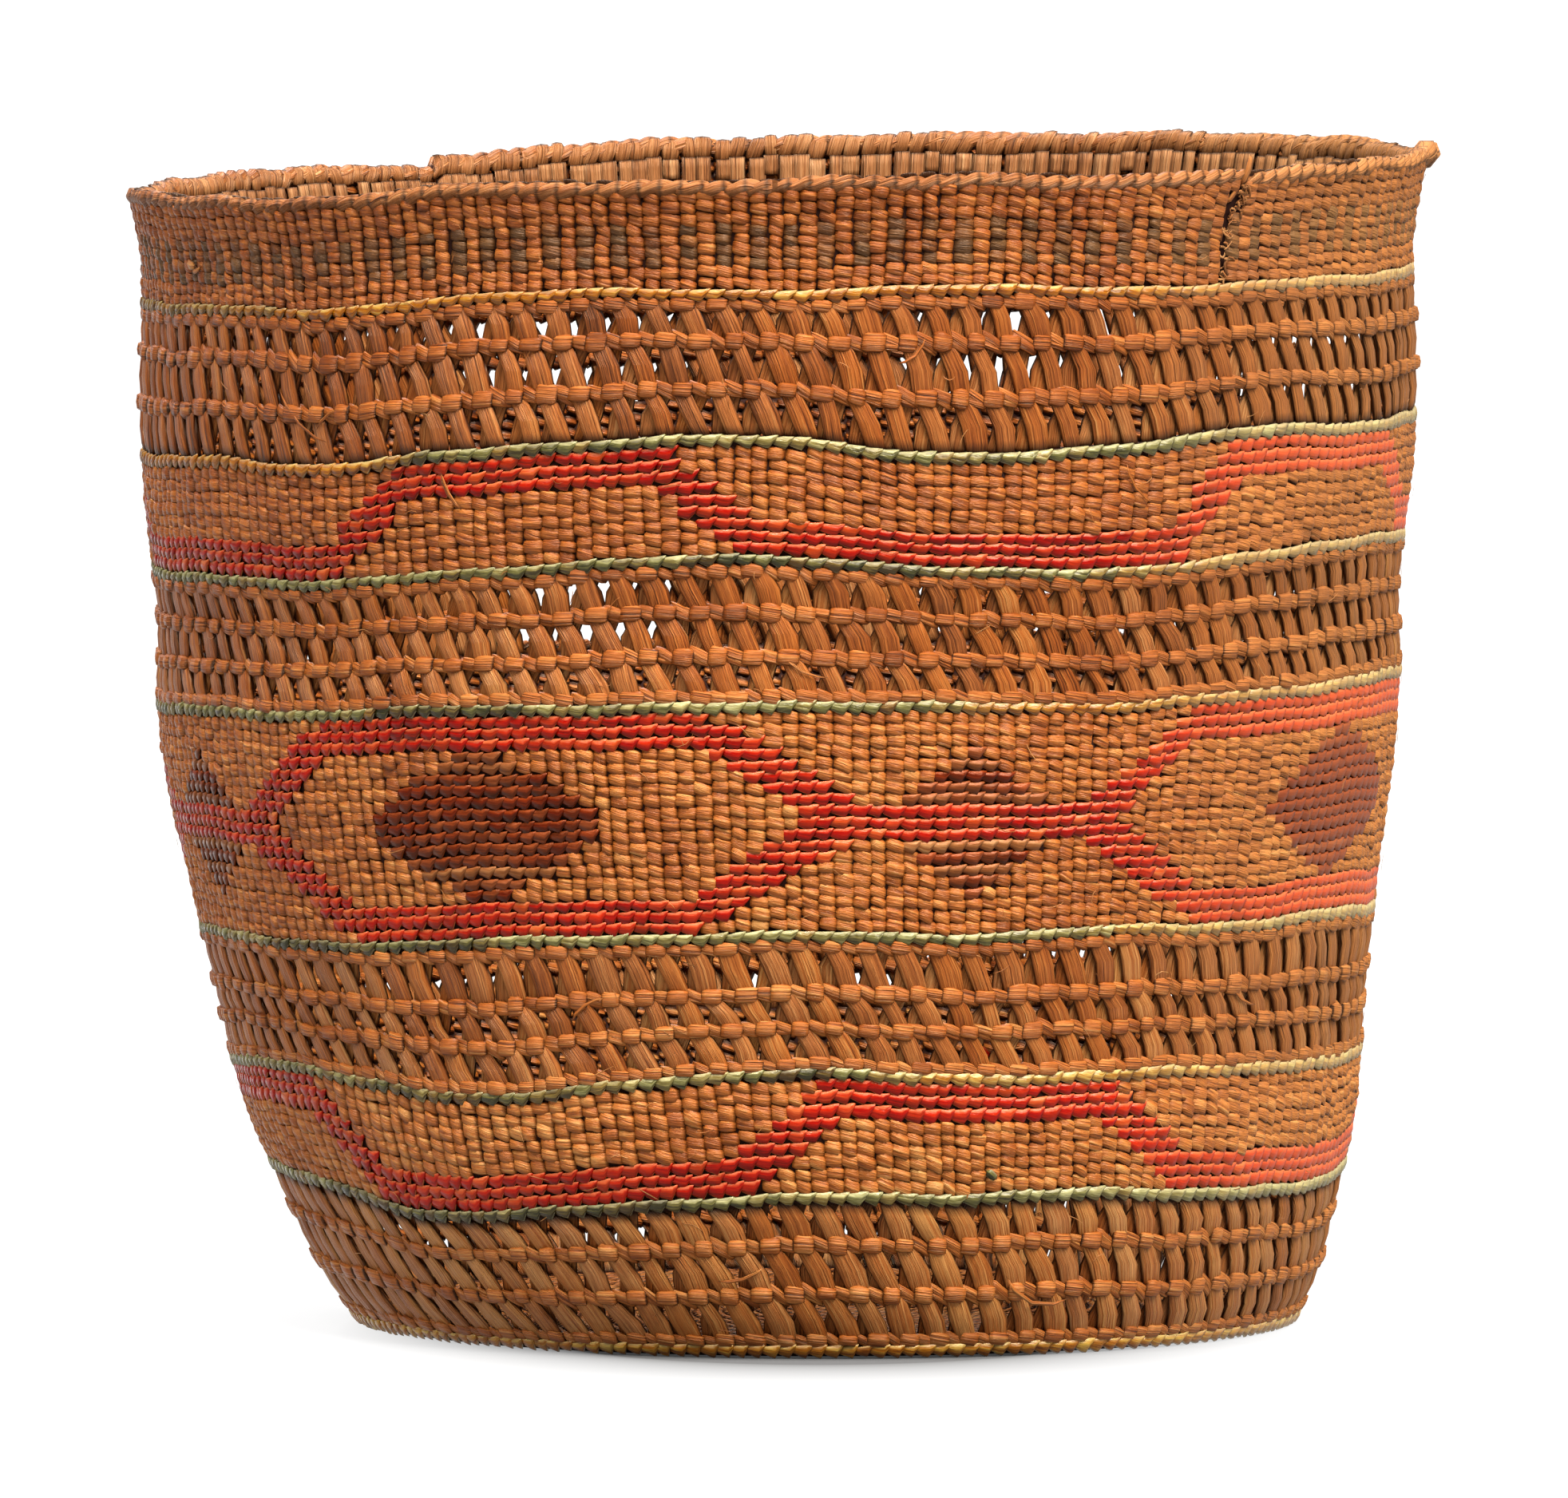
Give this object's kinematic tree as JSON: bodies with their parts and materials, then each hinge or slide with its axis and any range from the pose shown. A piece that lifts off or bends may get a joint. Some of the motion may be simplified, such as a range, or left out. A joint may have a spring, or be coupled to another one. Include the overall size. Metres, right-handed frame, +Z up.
{
  "type": "openwork basket",
  "caption": "Round twined root basket with close-woven bands, crossed-warp openwork, dyed grass figures and a rope rim, open at the top on a flat base.",
  "frame": {"origin": "centre of the base's underside, where the basket rests", "axes": "+Z up out of the mouth, -Y towards the side that the picture shows, +X to the right in the picture"},
  "size_m": [0.228, 0.2246, 0.2068],
  "materials": {
    "twined_root": "satin split root with fine lengthwise grain, aged golden brown",
    "red_grass": "dyed red grass, smooth and slightly glossy",
    "brown_grass": "dyed dark brown grass, smooth and glossy",
    "green_grass": "dyed green grass, faded towards straw, smooth",
    "gold_grass": "undyed golden grass, smooth"
  },
  "bodies": {
    "root": {"base_disc": "twined_root", "brown_diamond_1": "brown_grass", "brown_diamond_2": "brown_grass", "brown_diamond_3": "brown_grass", "brown_diamond_4": "brown_grass", "foot_inner_warps": "twined_root", "foot_outer_warps": "twined_root", "foot_weft_high": "twined_root", "foot_weft_low": "twined_root", "grass_line_1": "green_grass", "grass_line_2": "green_grass", "grass_line_3": "green_grass", "grass_line_4": "green_grass", "grass_line_5": "green_grass", "grass_line_6": "green_grass", "grass_line_7": "gold_grass", "heel_line": "gold_grass", "lower_band": "twined_root", "lower_half_diamond_1": "brown_grass", "lower_half_diamond_2": "brown_grass", "lower_half_diamond_3": "brown_grass", "lower_half_diamond_4": "brown_grass", "lower_inner_warps": "twined_root", "lower_outer_warps": "twined_root", "lower_red_zigzag": "red_grass", "lower_weft_high": "twined_root", "lower_weft_low": "twined_root", "middle_band": "twined_root", "middle_red_chain": "red_grass", "rim_band": "twined_root", "rim_inner_warps": "twined_root", "rim_outer_warps": "twined_root", "rim_rope": "twined_root", "rim_weft_high": "twined_root", "rim_weft_low": "twined_root", "turned_warp_ends": "twined_root", "upper_band": "twined_root", "upper_half_diamond_1": "brown_grass", "upper_half_diamond_2": "brown_grass", "upper_half_diamond_3": "brown_grass", "upper_half_diamond_4": "brown_grass", "upper_inner_warps": "twined_root", "upper_outer_warps": "twined_root", "upper_red_zigzag": "red_grass", "upper_weft_high": "twined_root", "upper_weft_low": "twined_root"}
  },
  "joints": []
}
